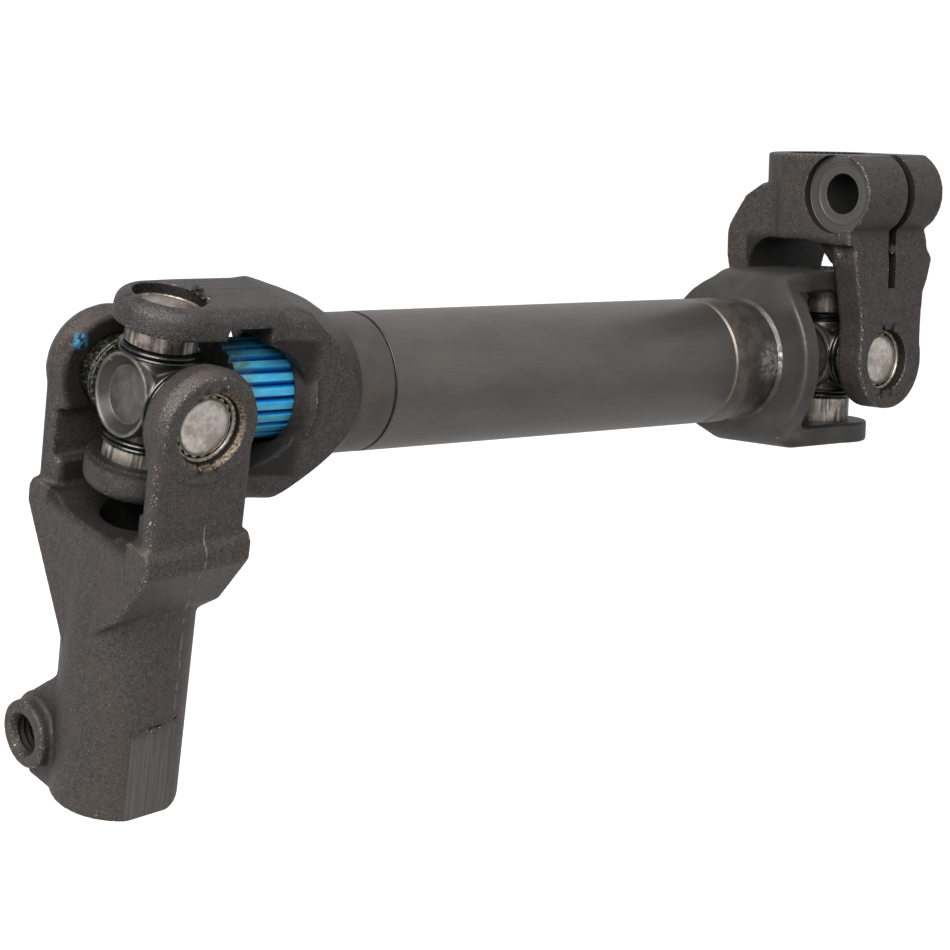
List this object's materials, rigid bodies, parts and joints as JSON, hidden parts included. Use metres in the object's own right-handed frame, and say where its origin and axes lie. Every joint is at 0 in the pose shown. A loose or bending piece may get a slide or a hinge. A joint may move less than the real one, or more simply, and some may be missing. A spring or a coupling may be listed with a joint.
{
  "type": "steering shaft",
  "caption": "Telescopic steering shaft: a plain round tube over a coated spline, a folded cross joint at each end, and split clamp sockets for the gear and the column.",
  "frame": {"origin": "on the tube's axis, at the middle of its plain length", "axes": "+X runs along the tube from the steering gear's end to the column's end, +Z is the pin axis of the tube's own fork, and +Y completes the frame"},
  "size_m": [0.2557, 0.0554, 0.1571],
  "materials": {
    "forged_brown": "grainy forged steel, brown-grey",
    "forged_grey": "grainy forged steel, dark grey",
    "pressed_steel": "smooth pressed steel",
    "drawn_tube": "satin drawn tube",
    "machined_steel": "turned steel",
    "tinted_steel": "heat-tinted turned steel",
    "slide_coat": "blue sliding coat, worn pale on its crests",
    "cross_steel": "dark machined steel",
    "bearing_steel": "bright pressed steel",
    "seal_rubber": "black rubber"
  },
  "bodies": {
    "tube": {"tube_yoke": "forged_grey", "outer_tube": "drawn_tube", "lower_cup_top": "bearing_steel", "lower_needles_top": "bearing_steel", "lower_cup_bottom": "bearing_steel", "lower_needles_bottom": "bearing_steel"},
    "lower_cross": {"lower_cross": "cross_steel", "lower_seal_top": "seal_rubber", "lower_seal_bottom": "seal_rubber", "lower_seal_back": "seal_rubber", "lower_seal_front": "seal_rubber"},
    "gear_fork": {"gear_yoke": "forged_brown", "lower_cup_front": "bearing_steel", "lower_needles_front": "bearing_steel", "lower_cup_back": "bearing_steel", "lower_needles_back": "bearing_steel"},
    "shaft": {"splined_shaft": "machined_steel", "spline_coat": "slide_coat", "stop_ring": "tinted_steel", "weld_bead": "tinted_steel", "strap_yoke": "pressed_steel", "upper_cup_top": "bearing_steel", "upper_needles_top": "bearing_steel", "upper_cup_bottom": "bearing_steel", "upper_needles_bottom": "bearing_steel"},
    "upper_cross": {"upper_cross": "cross_steel", "upper_seal_top": "seal_rubber", "upper_seal_bottom": "seal_rubber", "upper_seal_back": "seal_rubber", "upper_seal_front": "seal_rubber"},
    "column_fork": {"column_yoke": "forged_brown", "upper_cup_front": "bearing_steel", "upper_needles_front": "bearing_steel", "upper_cup_back": "bearing_steel", "upper_needles_back": "bearing_steel"}
  },
  "joints": [
    {"name": "lower_cross_turn", "type": "hinge", "parent": "tube", "child": "lower_cross", "pos_m": [-0.114, 0, 0], "axis": [0, 0, 1], "range_deg": [-8, 8]},
    {"name": "gear_fork_turn", "type": "hinge", "parent": "lower_cross", "child": "gear_fork", "pos_m": [-0.114, 0, 0], "axis": [0, 1, 0], "range_deg": [-3, 188]},
    {"name": "spline_slide", "type": "slide", "parent": "tube", "child": "shaft", "axis": [1, 0, 0], "range_m": [0, 0.055]},
    {"name": "upper_cross_turn", "type": "hinge", "parent": "shaft", "child": "upper_cross", "pos_m": [0.111, 0, 0], "axis": [0, 0.2756, 0.9613], "range_deg": [-5, 5]},
    {"name": "column_fork_turn", "type": "hinge", "parent": "upper_cross", "child": "column_fork", "pos_m": [0.111, 0, 0], "axis": [0, 0.9613, -0.2756], "range_deg": [-6, 184]}
  ]
}
